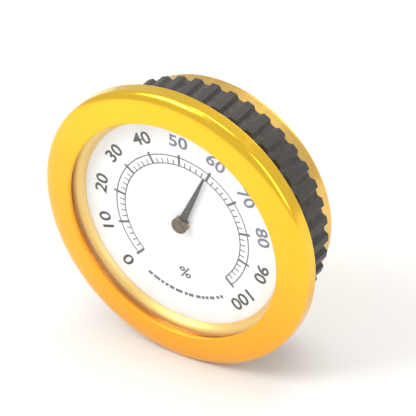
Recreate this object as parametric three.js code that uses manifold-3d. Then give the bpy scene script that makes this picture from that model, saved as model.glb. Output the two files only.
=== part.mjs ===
// Dial hygrometer that is pressed into a round hole in a panel or a box's wall.
// A turned bezel holds a window over a white dial. Behind the panel a cup-shaped case holds the movement:
// a flat spiral coil that winds up as the air gets damper and turns the pointer on its arbor. The coil's
// outer end is held by an arm on a slotted stud in the case's rear wall, so turning the stud sets the zero.
// Millimetres, +Z up. The dial faces -Y. The origin is the centre of the panel hole at the panel's face,
// so what has y below 0 stands in front of the panel and what has y above 0 is behind it.

import * as THREE from 'three';
import { mergeVertices } from 'three/addons/utils/BufferGeometryUtils.js';
import Module from 'manifold-3d';

const wasm = await Module();
wasm.setup();

// ---- Driving dimensions ----

// Bezel: flange in front of the panel
const bezelRadius = 19;
const flangeEdgeDepth = 1.5;
const crestRadius = 15.3;
const crestDepth = 2.7;
const lipRadius = 14.95;
const lipDepth = 2.3;
const domeSteps = 5;

// Case: the cup that goes through the panel hole
const caseRadius = 15.4;
const caseWall = 0.5;
const caseFrontY = -1.08;
const caseBackY = 9.5;
const caseRearCorner = 0.7;
const fitGap = 0.05;
const seatGap = 0.02;
const holeClearance = 0.1;
const toolOverrun = 1;

// Air slots in the case's rear wall, narrower than a fingertip or a tool
const airSlots = 6;
const airSlotStart = 5.2;
const airSlotEnd = 9.2;
const airSlotHalfWidth = 0.6;

// Grip ring: low ribs that squash against the wall of the panel hole
const gripRibs = 40;
const gripFrontY = 3;
const gripBackY = 7;
const gripValleyRadius = 15.75;
const gripTopRadius = 16.3;

// Window, spacer and dial
const lensThickness = 0.8;
const windowSeatY = -1.43;
const dialThickness = 0.4;
const dialFaceY = -0.4;
const dialVisibleRadius = 14;
const dialHoleRadius = 1;
const spacerMouthRadius = 15.25;
const spacerWaistRadius = 14.55;
const spacerWaistY = -1.22;
const spacerFlangeThickness = 0.3;
const footRadius = 0.5;
const footCircle = 10;
const footBackY = 1.2;

// Movement frame: plate behind the dial, three pillars and their screws
const plateY = 0.05;
const plateThickness = 0.6;
const pillarCircle = 12;
const pillarRadius = 1.25;
const pillarAngles = [90, 210, 330];
const screwRadius = 0.6;
const screwTipGap = 0.4;
const caseScrewLength = 2.4;
const tappedDepth = 2.6;
const sunkHeadRadius = 1.1;
const sunkHeadDepth = 0.5;
const sunkSlotDepth = 0.24;
const sunkSlotHalfWidth = 0.12;
const panHeadRadius = 1.3;
const panHeadHeight = 0.78;
const panShoulder = 0.4;
const panSlotHalfWidth = 0.17;

// Bearing bush in the movement plate
const bushRadius = 1.5;
const bushFlangeRadius = 2.2;
const bushFlangeBackY = 1.2;
const bushNoseRadius = 1.3;
const bushBackY = 2.5;

// Arbor and pointer
const arborRadius = 0.4;
const bearingRadius = 0.45;
const arborFrontY = -1.08;
const arborBackY = 8.3;
const arborTip = 0.2;
const pointerAngle = 25.5;
const pointerLength = 8.8;
const pointerWidth = 1.05;
const pointerTipWidth = 0.3;
const pointerY = -0.95;
const pointerThickness = 0.15;
const pointerEyeRadius = 0.95;
const pointerHoleRadius = 0.62;
const bossRadius = 1.08;
const bossFrontY = -1.33;
const bossBevel = 0.15;
const bossNeckRadius = 0.6;
const bossNeckBackY = -0.6;

// Coil: flat spiral strip between the collet and the anchor arm
const coilFrontY = 3;
const coilWidth = 3;
const coilThickness = 0.28;
const coilInnerRadius = 1.95;
const coilOuterRadius = 8.7;
const coilTurns = 4.5;
const coilStepsPerTurn = 28;
const coilEndAngle = 277;
const colletRadius = 1.6;

// Calibration stud: neck, collar, shaft and the clip's groove
const studRadius = 2;
const studNeckRadius = 1.9;
const studFrontY = 6.4;
const studBackY = 10.4;
const studCollarRadius = 2.6;
const studCollarFrontY = 7.06;
const studCollarBackY = 8.3;
const studGrooveRadius = 1.7;
const studGrooveFrontY = 9.54;
const studGrooveBackY = 9.9;
const studSlotHalfWidth = 0.3;
const studSlotDepth = 0.45;
const studHoleGap = 0.09;

// Anchor arm and the rivet that holds the coil's outer end
const armHubRadius = 3.1;
const armY = 6.62;
const armThickness = 0.4;
const armWidth = 2.4;
const armReach = 11.5;
const rivetShankRadius = 0.35;
const rivetHoleRadius = 0.4;
const rivetOuterHeadRadius = 0.7;
const rivetInnerHeadRadius = 0.65;
const rivetHeadHeight = 0.2;

// Clip and spring washer on the stud
const clipInnerRadius = 1.74;
const clipRadius = 3;
const clipThickness = 0.3;
const clipMouthHalfWidth = 1.25;
const washerRadius = 3.6;
const washerBoreGap = 0.08;
const washerThickness = 0.25;
const washerRise = 0.33;

// Facets round a whole turn
const largeSides = 60;
const smallSides = 24;
const tinySides = 12;

// ---- Finishes ----

const polishedBrass = { color: 0xf2c13c, roughness: 0.18, metalness: 1 };
const plainBrass = { color: 0xc9a24e, roughness: 0.35, metalness: 1 };
const steel = { color: 0xb9bcc0, roughness: 0.3, metalness: 1 };
const clearGlass = { color: 0xf4f8f8, roughness: 0.03, metalness: 0, transparent: true, opacity: 0.25 };
const whiteEnamel = { color: 0xf7f7f5, roughness: 0.5, metalness: 0 };
const blackPaint = { color: 0x0c0c0c, roughness: 0.4, metalness: 0 };
const darkBronze = { color: 0x4e4029, roughness: 0.35, metalness: 0.9 };
const saltPaper = { color: 0xcfc4a4, roughness: 0.7, metalness: 0.1 };
const softVinyl = { color: 0x2a2723, roughness: 0.75, metalness: 0 };

// ---- Shape helpers ----

// A solid of revolution about Y. The profile lists [radius, y] points anticlockwise, from the axis back
// to the axis.
function turned(profile, sides) {
  const points = profile.map(([radius, y]) => new THREE.Vector2(radius, y));
  return new THREE.LatheGeometry(points, sides);
}

// A ring about Y, whose profile closes on itself.
function ring(profile, sides) {
  return turned([...profile, profile[0]], sides);
}

// A plain round bar along Y.
function bar(radius, frontY, backY, sides) {
  return turned([[0, frontY], [radius, frontY], [radius, backY], [0, backY]], sides);
}

// A flat plate: the outline is drawn as (x, z) and reaches from frontY to backY.
function slab(outline, frontY, backY, curveSegments = 8) {
  const geometry = new THREE.ExtrudeGeometry(outline, {
    depth: backY - frontY,
    bevelEnabled: false,
    curveSegments,
  });
  return geometry.rotateX(Math.PI / 2).translate(0, backY, 0);
}

// A block with its lowest and highest corner.
function block([x0, y0, z0], [x1, y1, z1]) {
  const geometry = new THREE.BoxGeometry(x1 - x0, y1 - y0, z1 - z0);
  return geometry.translate((x0 + x1) / 2, (y0 + y1) / 2, (z0 + z1) / 2);
}

// The same mesh with shared vertices and no collapsed triangles.
function welded(geometry) {
  const bare = geometry.clone();
  bare.deleteAttribute('normal');
  bare.deleteAttribute('uv');
  const merged = mergeVertices(bare);
  const corners = merged.index.array;
  const kept = [];
  for (let i = 0; i < corners.length; i += 3) {
    const [a, b, c] = corners.slice(i, i + 3);
    if (a !== b && b !== c && c !== a) {
      kept.push(a, b, c);
    }
  }
  merged.setIndex(kept);
  return merged;
}

function toSolid(geometry) {
  const mesh = welded(geometry);
  return new wasm.Manifold(new wasm.Mesh({
    numProp: 3,
    vertProperties: new Float32Array(mesh.attributes.position.array),
    triVerts: new Uint32Array(mesh.index.array),
  }));
}

function fromSolid(solid) {
  const mesh = solid.getMesh();
  const geometry = new THREE.BufferGeometry();
  geometry.setAttribute('position', new THREE.BufferAttribute(mesh.vertProperties, 3));
  geometry.setIndex(new THREE.BufferAttribute(mesh.triVerts, 1));
  return geometry;
}

function cut(base, tools) {
  let solid = toSolid(base);
  for (const tool of tools) {
    solid = solid.subtract(toSolid(tool));
  }
  return fromSolid(solid);
}

function join(base, others) {
  let solid = toSolid(base);
  for (const other of others) {
    solid = solid.add(toSolid(other));
  }
  return fromSolid(solid);
}

// A place on a circle round the dial's axis. The angle is measured from +X towards +Z.
function onCircle(radius, degrees) {
  const angle = THREE.MathUtils.degToRad(degrees);
  return new THREE.Vector3(radius * Math.cos(angle), 0, radius * Math.sin(angle));
}

function moved(geometry, place) {
  return geometry.translate(place.x, place.y, place.z);
}

function piece(name, geometry, finish) {
  const mesh = new THREE.Mesh(geometry, new THREE.MeshStandardMaterial(finish));
  mesh.name = name;
  return mesh;
}

// ---- Front of the instrument ----

// Domed ring: straight edge, face rising to the crest, then a lip that holds the window from in front.
function bezel() {
  const dome = [];
  for (let i = 0; i <= domeSteps; i += 1) {
    const angle = (i / domeSteps) * (Math.PI / 2);
    const radius = crestRadius + (bezelRadius - crestRadius) * Math.sin(angle);
    const depth = flangeEdgeDepth + (crestDepth - flangeEdgeDepth) * Math.cos(angle);
    dome.push([radius, -depth]);
  }
  const bore = caseRadius + fitGap;
  return ring([
    [bore, -lipDepth],
    [lipRadius, -lipDepth],
    [lipRadius, -(lipDepth + crestDepth) / 2],
    ...dome,
    [bezelRadius, 0],
    [bore, 0],
  ], largeSides);
}

function lens() {
  const backY = windowSeatY - fitGap;
  return bar(caseRadius, backY - lensThickness, backY, largeSides);
}

// Ring between the window and the dial: a flange that rests on the case's rim, and a wall that flares
// out from the dial to the window.
function spacerRing() {
  const outside = caseRadius - caseWall - fitGap;
  const flangeBackY = windowSeatY + spacerFlangeThickness;
  return ring([
    [spacerMouthRadius, windowSeatY],
    [caseRadius, windowSeatY],
    [caseRadius, flangeBackY],
    [outside, flangeBackY],
    [outside, dialFaceY - fitGap],
    [dialVisibleRadius, dialFaceY - fitGap],
    [spacerWaistRadius, spacerWaistY],
  ], largeSides);
}

function dialPlate() {
  const outside = caseRadius - caseWall - fitGap;
  return ring([
    [dialHoleRadius, dialFaceY],
    [outside, dialFaceY],
    [outside, dialFaceY + dialThickness],
    [dialHoleRadius, dialFaceY + dialThickness],
  ], largeSides);
}

// Pin on the dial's back that keys it to the movement plate.
function dialFoot(degrees) {
  const frontY = dialFaceY + dialThickness + seatGap;
  return moved(bar(footRadius, frontY, footBackY, tinySides), onCircle(footCircle, degrees));
}

// ---- Movement frame ----

const plateBackY = plateY + plateThickness;
const caseInsideY = caseBackY - caseWall;

function movementPlate() {
  const outside = caseRadius - caseWall - fitGap;
  const [startY, endY] = [plateY - toolOverrun, plateBackY + toolOverrun];
  const bushHole = bar(bushRadius + fitGap, startY, endY, smallSides);
  const footHole = footRadius + holeClearance;
  const footHoles = [0, 180].map((degrees) => (
    moved(bar(footHole, startY, endY, tinySides), onCircle(footCircle, degrees))
  ));
  const screwHoles = pillarAngles.map((degrees) => (
    moved(screwShape(plateY - 0.5, fitGap), onCircle(pillarCircle, degrees))
  ));
  return cut(bar(outside, plateY, plateBackY, largeSides), [bushHole, ...footHoles, ...screwHoles]);
}

// Countersunk screw from frontY to the tapped depth, grown all round by a margin.
// The cone starts at the plate's face whatever frontY is, so the same shape also cuts the countersink.
function screwShape(frontY, margin) {
  const headRadius = sunkHeadRadius + margin;
  const shank = screwRadius + margin;
  const coneY = plateY + seatGap;
  const tipY = plateBackY + tappedDepth - screwTipGap;
  return turned([
    [0, frontY],
    [headRadius, frontY],
    [headRadius, coneY],
    [shank, coneY + sunkHeadDepth],
    [shank, tipY],
    [0, tipY],
  ], tinySides);
}

function plateScrew(degrees) {
  const slot = block(
    [-2 * sunkHeadRadius, plateY - toolOverrun, -sunkSlotHalfWidth],
    [2 * sunkHeadRadius, plateY + sunkSlotDepth, sunkSlotHalfWidth],
  );
  return moved(cut(screwShape(plateY + seatGap / 2, 0), [slot]), onCircle(pillarCircle, degrees));
}

// Round post with a tapped hole in each end.
function pillar(degrees) {
  const frontY = plateBackY + fitGap;
  const backY = caseInsideY - fitGap;
  const tapped = screwRadius + fitGap;
  return moved(turned([
    [0, frontY + tappedDepth],
    [tapped, frontY + tappedDepth],
    [tapped, frontY],
    [pillarRadius, frontY],
    [pillarRadius, backY],
    [tapped, backY],
    [tapped, backY - tappedDepth],
    [0, backY - tappedDepth],
  ], tinySides), onCircle(pillarCircle, degrees));
}

// Bearing of the arbor: pressed into the plate from behind, up to its shoulder.
function frontBush() {
  return ring([
    [bearingRadius, plateY],
    [bushRadius, plateY],
    [bushRadius, plateBackY + fitGap],
    [bushFlangeRadius, plateBackY + fitGap],
    [bushFlangeRadius, bushFlangeBackY],
    [bushNoseRadius, bushFlangeBackY],
    [bushNoseRadius, bushBackY],
    [bearingRadius, bushBackY],
  ], smallSides);
}

// ---- Case behind the panel ----

// Cup with a rounded rear edge, six air slots, three screw holes and the stud's hole in its rear wall.
function caseCan() {
  const inside = caseRadius - caseWall;
  const insideCorner = 0.4;
  const cornerBevel = 0.2;
  const cup = ring([
    [inside, caseFrontY],
    [caseRadius, caseFrontY],
    [caseRadius, caseBackY - caseRearCorner],
    [caseRadius - cornerBevel, caseBackY - cornerBevel],
    [caseRadius - caseRearCorner, caseBackY],
    [studRadius + studHoleGap, caseBackY],
    [studRadius + studHoleGap, caseInsideY],
    [inside - insideCorner, caseInsideY],
    [inside, caseInsideY - insideCorner],
  ], largeSides);
  const slots = [];
  for (let i = 0; i < airSlots; i += 1) {
    slots.push(airSlot((360 / airSlots) * i));
  }
  const holeRadius = screwRadius + holeClearance;
  const [startY, endY] = [caseInsideY - toolOverrun, caseBackY + toolOverrun];
  const screwHoles = pillarAngles.map((degrees) => (
    moved(bar(holeRadius, startY, endY, tinySides), onCircle(pillarCircle, degrees))
  ));
  return cut(cup, [...slots, ...screwHoles]);
}

// Round-ended slot along a radius.
function airSlot(degrees) {
  const half = airSlotHalfWidth;
  const outline = new THREE.Shape();
  outline.moveTo(airSlotStart, -half);
  outline.lineTo(airSlotEnd, -half);
  outline.absarc(airSlotEnd, 0, half, -Math.PI / 2, Math.PI / 2, false);
  outline.lineTo(airSlotStart, half);
  outline.absarc(airSlotStart, 0, half, Math.PI / 2, 1.5 * Math.PI, false);
  const slot = slab(outline, caseInsideY - toolOverrun / 2, caseBackY + toolOverrun / 2, 4);
  return slot.rotateY(-THREE.MathUtils.degToRad(degrees));
}

// Screw with a domed pan head against the case's rear wall.
function caseScrew(degrees) {
  const headY = caseBackY + fitGap;
  const tipY = headY - caseScrewLength;
  const screw = turned([
    [0, tipY],
    [screwRadius, tipY],
    [screwRadius, headY],
    [panHeadRadius, headY],
    [panHeadRadius, headY + panShoulder],
    [0.8 * panHeadRadius, headY + 0.83 * panHeadHeight],
    [0.46 * panHeadRadius, headY + 0.96 * panHeadHeight],
    [0, headY + panHeadHeight],
  ], tinySides);
  const slot = block(
    [-2 * panHeadRadius, headY + panShoulder, -panSlotHalfWidth],
    [2 * panHeadRadius, headY + 2 * panHeadHeight, panSlotHalfWidth],
  );
  return moved(cut(screw, [slot]), onCircle(pillarCircle, degrees));
}

// Soft band with low ribs. Each rib takes a share of its pitch, with a valley before it.
function gripRing() {
  const ribCorners = [
    [0, gripValleyRadius],
    [0.3, gripValleyRadius],
    [0.45, gripTopRadius],
    [0.85, gripTopRadius],
  ];
  const points = [];
  for (let i = 0; i < gripRibs; i += 1) {
    for (const [share, radius] of ribCorners) {
      const angle = ((i + share) / gripRibs) * 2 * Math.PI;
      points.push(new THREE.Vector2(radius * Math.cos(angle), radius * Math.sin(angle)));
    }
  }
  const bore = bar(caseRadius + fitGap, gripFrontY - toolOverrun, gripBackY + toolOverrun, largeSides);
  return cut(slab(new THREE.Shape(points), gripFrontY, gripBackY), [bore]);
}

// ---- Pointer and arbor ----

function arbor() {
  return turned([
    [0, arborFrontY],
    [arborRadius, arborFrontY],
    [arborRadius, arborBackY - arborTip],
    [arborRadius - arborTip, arborBackY],
    [0, arborBackY],
  ], smallSides);
}

// Slim hand that points up before its group is turned: a round eye and a straight taper.
function pointer() {
  const eye = pointerEyeRadius;
  const halfRoot = pointerWidth / 2;
  const halfTip = pointerTipWidth / 2;
  const rootAngle = Math.acos(halfRoot / eye);
  const outline = new THREE.Shape();
  outline.moveTo(halfTip, pointerLength);
  outline.lineTo(-halfTip, pointerLength);
  outline.lineTo(-halfRoot, eye * Math.sin(rootAngle));
  outline.absarc(0, 0, eye, Math.PI - rootAngle, 2 * Math.PI + rootAngle, false);
  outline.closePath();
  const plate = slab(outline, pointerY, pointerY + pointerThickness, 20);
  const hole = bar(pointerHoleRadius, pointerY - toolOverrun, pointerY + toolOverrun, smallSides);
  return cut(plate, [hole]);
}

// Cap in front of the pointer with a neck through the pointer's eye, bored to fit the arbor.
function pointerBoss() {
  const socket = arborRadius + seatGap;
  const capBackY = pointerY - seatGap;
  return turned([
    [0, bossFrontY],
    [bossRadius - bossBevel, bossFrontY + 0.2 * bossBevel],
    [bossRadius, bossFrontY + bossBevel],
    [bossRadius, capBackY],
    [bossNeckRadius, capBackY],
    [bossNeckRadius, bossNeckBackY],
    [socket, bossNeckBackY],
    [socket, arborFrontY - seatGap],
    [0, arborFrontY - seatGap],
  ], smallSides);
}

function coilCollet() {
  return ring([
    [arborRadius + seatGap, coilFrontY],
    [colletRadius, coilFrontY],
    [colletRadius, coilFrontY + coilWidth],
    [arborRadius + seatGap, coilFrontY + coilWidth],
  ], smallSides);
}

// ---- Coil ----

// Radius of the strip's middle line at a share of its whole angle, from the collet out to the arm.
function coilRadius(share) {
  return coilInnerRadius + (coilOuterRadius - coilInnerRadius) * share;
}

function coilPoint(share, offset) {
  const degrees = coilEndAngle - 360 * coilTurns * (1 - share);
  const place = onCircle(coilRadius(share) + offset, degrees);
  return new THREE.Vector2(place.x, place.z);
}

// One strip, drawn out along its outer face and back along its inner face, with a hole for the rivet.
function hygroCoil() {
  const steps = coilTurns * coilStepsPerTurn;
  const outside = [];
  const inside = [];
  for (let i = 0; i <= steps; i += 1) {
    outside.push(coilPoint(i / steps, coilThickness / 2));
    inside.push(coilPoint(i / steps, -coilThickness / 2));
  }
  const outline = new THREE.Shape([...outside, ...inside.reverse()]);
  const strip = slab(outline, coilFrontY, coilFrontY + coilWidth);
  return cut(strip, [rivetHole()]);
}

// ---- Calibration stud ----

const armTabRadius = coilOuterRadius + coilThickness / 2 + 0.06;
const rivetY = coilFrontY + coilWidth / 2;

// The rivet's hole through the coil's outer end and the arm's tab, pointing down from the axis.
function rivetHole() {
  const startY = -armTabRadius - 2 * armThickness;
  const endY = -coilOuterRadius + 2 * coilThickness;
  return bar(rivetHoleRadius, startY, endY, tinySides).rotateX(Math.PI / 2).translate(0, rivetY, 0);
}

// Stud with a bearing hole for the arbor in front, a shoulder inside the case, a groove for the clip
// and a screwdriver slot behind.
function calibrationStud() {
  const chamfer = 0.2;
  const bearingEndY = arborBackY + 0.1;
  const stud = turned([
    [0, bearingEndY],
    [bearingRadius, bearingEndY],
    [bearingRadius, studFrontY],
    [studNeckRadius, studFrontY],
    [studNeckRadius, studCollarFrontY],
    [studCollarRadius, studCollarFrontY],
    [studCollarRadius, studCollarBackY],
    [studRadius, studCollarBackY],
    [studRadius, studGrooveFrontY],
    [studGrooveRadius, studGrooveFrontY],
    [studGrooveRadius, studGrooveBackY],
    [studRadius, studGrooveBackY],
    [studRadius, studBackY - chamfer],
    [studRadius - chamfer, studBackY],
    [0, studBackY],
  ], smallSides);
  const slot = block(
    [-2 * studRadius, studBackY - studSlotDepth, -studSlotHalfWidth],
    [2 * studRadius, studBackY + toolOverrun, studSlotHalfWidth],
  );
  return cut(stud, [slot]);
}

// Strap that points down from the stud, with a tab bent forward over the coil's outer end.
// Its tip is also the stop: it meets a pillar when the stud has been turned as far as it goes.
function anchorArm() {
  const hub = bar(armHubRadius, armY, armY + armThickness, smallSides);
  const strap = block([-armWidth / 2, armY, -armReach], [armWidth / 2, armY + armThickness, 0]);
  const tab = block(
    [-armWidth / 2, coilFrontY, -armTabRadius - armThickness],
    [armWidth / 2, armY + armThickness, -armTabRadius],
  );
  const studHole = bar(studNeckRadius + fitGap, armY - toolOverrun, armY + 2 * toolOverrun, smallSides);
  return cut(join(hub, [strap, tab]), [studHole, rivetHole()]);
}

// Two heads and a shank, along the downward radius.
function anchorRivet() {
  const inner = coilOuterRadius - coilThickness / 2 - 0.12;
  const outer = armTabRadius + armThickness + fitGap;
  const bevel = 0.1;
  const rivet = turned([
    [0, -outer - rivetHeadHeight],
    [rivetOuterHeadRadius - bevel, -outer - rivetHeadHeight],
    [rivetOuterHeadRadius, -outer],
    [rivetShankRadius, -outer],
    [rivetShankRadius, -inner],
    [rivetInnerHeadRadius, -inner],
    [rivetInnerHeadRadius - bevel, -inner + rivetHeadHeight],
    [0, -inner + rivetHeadHeight],
  ], tinySides);
  return rivet.rotateX(Math.PI / 2).translate(0, rivetY, 0);
}

// Dished spring washer between the stud's collar and the rear wall.
function frictionWasher() {
  const bore = studRadius + washerBoreGap;
  const frontY = studCollarBackY + fitGap;
  const rim = 0.35;
  return ring([
    [bore, frontY],
    [washerRadius - rim, frontY + 0.75 * washerRise],
    [washerRadius, frontY + washerRise],
    [washerRadius, frontY + washerRise + washerThickness],
    [washerRadius - rim, frontY + 0.9 * washerRise + washerThickness],
    [bore, frontY + 1.2 * washerThickness],
  ], smallSides);
}

// Spring clip in the stud's groove, open on one side so that it can be pushed on.
function studRetainer() {
  const frontY = studGrooveFrontY + 0.03;
  const backY = frontY + clipThickness;
  const clip = ring([
    [clipInnerRadius, frontY],
    [clipRadius, frontY],
    [clipRadius, backY],
    [clipInnerRadius, backY],
  ], smallSides);
  const mouth = block(
    [-clipMouthHalfWidth, frontY - toolOverrun, 0],
    [clipMouthHalfWidth, backY + toolOverrun, 2 * clipRadius],
  );
  return cut(clip, [mouth]);
}

// ---- Assembly ----

const caseGroup = new THREE.Group();
caseGroup.add(piece('bezel', bezel(), polishedBrass));
caseGroup.add(piece('lens', lens(), clearGlass));
caseGroup.add(piece('spacer_ring', spacerRing(), polishedBrass));
caseGroup.add(piece('dial_plate', dialPlate(), whiteEnamel));
caseGroup.add(piece('dial_foot_right', dialFoot(0), plainBrass));
caseGroup.add(piece('dial_foot_left', dialFoot(180), plainBrass));
caseGroup.add(piece('movement_plate', movementPlate(), plainBrass));
caseGroup.add(piece('front_bush', frontBush(), plainBrass));
pillarAngles.forEach((degrees, i) => {
  caseGroup.add(piece(`plate_screw_${i + 1}`, plateScrew(degrees), steel));
  caseGroup.add(piece(`pillar_${i + 1}`, pillar(degrees), plainBrass));
  caseGroup.add(piece(`case_screw_${i + 1}`, caseScrew(degrees), steel));
});
caseGroup.add(piece('case_can', caseCan(), plainBrass));
caseGroup.add(piece('grip_ring', gripRing(), softVinyl));
caseGroup.add(piece('friction_washer', frictionWasher(), steel));

const calibrationGroup = new THREE.Group();
calibrationGroup.add(piece('calibration_stud', calibrationStud(), plainBrass));
calibrationGroup.add(piece('anchor_arm', anchorArm(), plainBrass));
calibrationGroup.add(piece('anchor_rivet', anchorRivet(), steel));
calibrationGroup.add(piece('stud_retainer', studRetainer(), steel));
calibrationGroup.add(piece('hygro_coil', hygroCoil(), saltPaper));

// Everything that turns with the pointer is drawn pointing up and turned clockwise to its reading.
const pointerGroup = new THREE.Group();
pointerGroup.rotation.y = THREE.MathUtils.degToRad(pointerAngle);
pointerGroup.add(piece('arbor', arbor(), steel));
pointerGroup.add(piece('pointer', pointer(), blackPaint));
pointerGroup.add(piece('pointer_boss', pointerBoss(), darkBronze));
pointerGroup.add(piece('coil_collet', coilCollet(), plainBrass));

const hygrometer = new THREE.Group();
hygrometer.add(caseGroup, calibrationGroup, pointerGroup);

export default hygrometer;
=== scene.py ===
import math
import random
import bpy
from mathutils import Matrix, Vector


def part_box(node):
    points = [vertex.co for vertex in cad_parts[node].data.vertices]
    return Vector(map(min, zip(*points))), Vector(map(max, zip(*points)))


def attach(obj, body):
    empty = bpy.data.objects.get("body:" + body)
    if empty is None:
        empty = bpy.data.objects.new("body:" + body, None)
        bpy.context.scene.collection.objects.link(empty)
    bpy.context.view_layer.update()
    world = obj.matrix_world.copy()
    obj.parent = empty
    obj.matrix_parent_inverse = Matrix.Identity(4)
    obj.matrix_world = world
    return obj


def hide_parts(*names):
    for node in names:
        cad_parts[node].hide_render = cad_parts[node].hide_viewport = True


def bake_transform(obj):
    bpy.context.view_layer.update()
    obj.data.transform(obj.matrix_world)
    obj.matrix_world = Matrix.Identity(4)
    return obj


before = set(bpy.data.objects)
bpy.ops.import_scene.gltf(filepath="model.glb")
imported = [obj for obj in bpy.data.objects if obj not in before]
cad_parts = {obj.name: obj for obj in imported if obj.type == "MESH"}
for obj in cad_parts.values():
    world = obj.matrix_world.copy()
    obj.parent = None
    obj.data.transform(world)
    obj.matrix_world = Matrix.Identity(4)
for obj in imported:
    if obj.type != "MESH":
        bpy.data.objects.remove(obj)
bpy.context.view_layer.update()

from types import SimpleNamespace

import bmesh
import bpy
import numpy as np
from mathutils import Matrix, Vector

# A dial hygrometer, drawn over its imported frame. Lengths are in millimetres until a mesh is made.
# The dial faces -Y, +Z is up, and everything round is turned about the Y axis.

mm = 0.001
fullTurn = 2 * math.pi
print("frame loaded")


def named(values):
    # a value dictionary whose entries are read as v.name
    return SimpleNamespace(**values)


# Measures taken from the frame.

def span(node):
    # radius about the Y axis, front and back, and the middle as (x, z), in millimetres
    low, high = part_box(node)
    middle = (low + high) / 2 / mm
    radius = max(high.x - low.x, high.z - low.z) / 2 / mm
    return SimpleNamespace(radius=radius, front=low.y / mm, back=high.y / mm, middle=(middle.x, middle.z))


def pointAt(radius, degrees):
    # x and z on a circle about the dial's centre, clockwise from the top as seen from the front
    angle = math.radians(degrees)
    return radius * math.sin(angle), radius * math.cos(angle)


# Outlines.

def softened(corners, closed=True, steps=6):
    # corners are (a, b) or (a, b, fillet): a fillet becomes a true arc between its two straight sides
    points = []
    count = len(corners)
    for i, corner in enumerate(corners):
        here = Vector(corner[:2])
        fillet = corner[2] if len(corner) > 2 else 0
        atEnd = not closed and i in (0, count - 1)
        if fillet <= 0 or atEnd:
            points.append(tuple(here))
            continue
        towardsLast = (Vector(corners[i - 1][:2]) - here).normalized()
        towardsNext = (Vector(corners[(i + 1) % count][:2]) - here).normalized()
        turn = math.pi - towardsLast.angle(towardsNext)
        reach = fillet * math.tan(turn / 2)
        start, end = here + towardsLast * reach, here + towardsNext * reach
        weight = math.cos(turn / 2)
        for k in range(steps + 1):
            s = k / steps
            shares = ((1 - s) ** 2, 2 * weight * s * (1 - s), s * s)
            mixed = start * shares[0] + here * shares[1] + end * shares[2]
            points.append(tuple(mixed / sum(shares)))
    return points


def circle(radius, steps=64):
    angles = [fullTurn * k / steps for k in range(steps)]
    return [(radius * math.cos(a), radius * math.sin(a)) for a in angles]


def spun(points, degrees):
    # turns (x, z) points about the axis, clockwise as seen from the front
    c, s = math.cos(math.radians(degrees)), math.sin(math.radians(degrees))
    return [(x * c + z * s, z * c - x * s) for x, z in points]


def stadium(start, end, halfWidth, degrees, steps=10):
    # round-ended slot along a radius, the given angle anticlockwise from the right
    outline = []
    for middle, half in ((start, 0.5), (end, -0.5)):
        for a in np.linspace(half * math.pi, (half + 1) * math.pi, steps):
            outline.append((middle + halfWidth * math.cos(a), halfWidth * math.sin(a)))
    return spun(outline, -degrees)


# Meshes.

def smoothed(piece, sharpDegrees=32):
    # smooth but for the edges sharper than the angle
    piece.data.polygons.foreach_set("use_smooth", [True] * len(piece.data.polygons))
    piece.data.set_sharp_from_angle(angle=math.radians(sharpDegrees))
    return piece


def inScene(name, data):
    item = bpy.data.objects.new(name, data)
    bpy.context.scene.collection.objects.link(item)
    return item


def fromBmesh(name, bm, sharpDegrees=32, outward=True):
    # outward: every face is turned to look out of the solid
    if outward:
        bmesh.ops.recalc_face_normals(bm, faces=bm.faces)
    mesh = bpy.data.meshes.new(name)
    bm.to_mesh(mesh)
    bm.free()
    return smoothed(inScene(name, mesh), sharpDegrees)


def turned(name, profile, closed=False, centre=(0, 0), steps=160, sharpDegrees=32):
    # revolves (radius, y) points about a line along Y through the centre's x and z
    bm = bmesh.new()
    onAxis = {}
    columns = []
    for i in range(steps):
        angle = fullTurn * i / steps
        column = []
        for j, (radius, y) in enumerate(profile):
            if radius < 1e-6 and j in onAxis:
                column.append(onAxis[j])
                continue
            place = (centre[0] + radius * math.sin(angle), y, centre[1] + radius * math.cos(angle))
            vert = bm.verts.new(Vector(place) * mm)
            if radius < 1e-6:
                onAxis[j] = vert
            column.append(vert)
        columns.append(column)
    rows = len(profile) if closed else len(profile) - 1
    for i in range(steps):
        left, right = columns[i], columns[(i + 1) % steps]
        for j in range(rows):
            k = (j + 1) % len(profile)
            corners = list(dict.fromkeys((left[j], right[j], right[k], left[k])))
            if len(corners) > 2:
                bm.faces.new(corners)
    return fromBmesh(name, bm, sharpDegrees)


def lathed(name, corners, steps=160, roundSteps=6, centre=(0, 0)):
    # revolves a profile given by its corners and their fillets: a ring, or a solid that starts on the axis
    closed = corners[0][0] > 0
    return turned(name, softened(corners, closed, roundSteps), closed, centre, steps)


def plate(name, outlines, frontY, backY, edge=0.0, sharpDegrees=32):
    # flat plate: the first outline is its edge and the others are holes, all as (x, z) points
    curve = bpy.data.curves.new(name, "CURVE")
    curve.dimensions = "2D"
    curve.fill_mode = "BOTH"
    curve.extrude = ((backY - frontY) / 2 - edge) * mm
    curve.bevel_depth = edge * mm
    curve.offset = -edge * mm
    curve.bevel_resolution = 2
    for outline in outlines:
        spline = curve.splines.new("POLY")
        spline.points.add(len(outline) - 1)
        for point, (x, z) in zip(spline.points, outline):
            point.co = (x * mm, z * mm, 0, 1)
        spline.use_cyclic_u = True
    return fromCurve(name, curve, uprightAt((frontY + backY) / 2), sharpDegrees)


def uprightAt(y):
    # turns a shape drawn flat in XY to stand in XZ, facing the front, at the given depth
    return Matrix.Translation((0, y * mm, 0)) @ Matrix.Rotation(math.pi / 2, 4, "X")


def fromCurve(name, curve, matrix, sharpDegrees=32):
    holder = inScene(name + "Curve", curve)
    mesh = asSeen(holder)
    bpy.data.objects.remove(holder)
    mesh.transform(matrix)
    bm = bmesh.new()
    bm.from_mesh(mesh)
    bmesh.ops.remove_doubles(bm, verts=bm.verts, dist=2e-4 * mm)
    return fromBmesh(name, bm, sharpDegrees)


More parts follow.
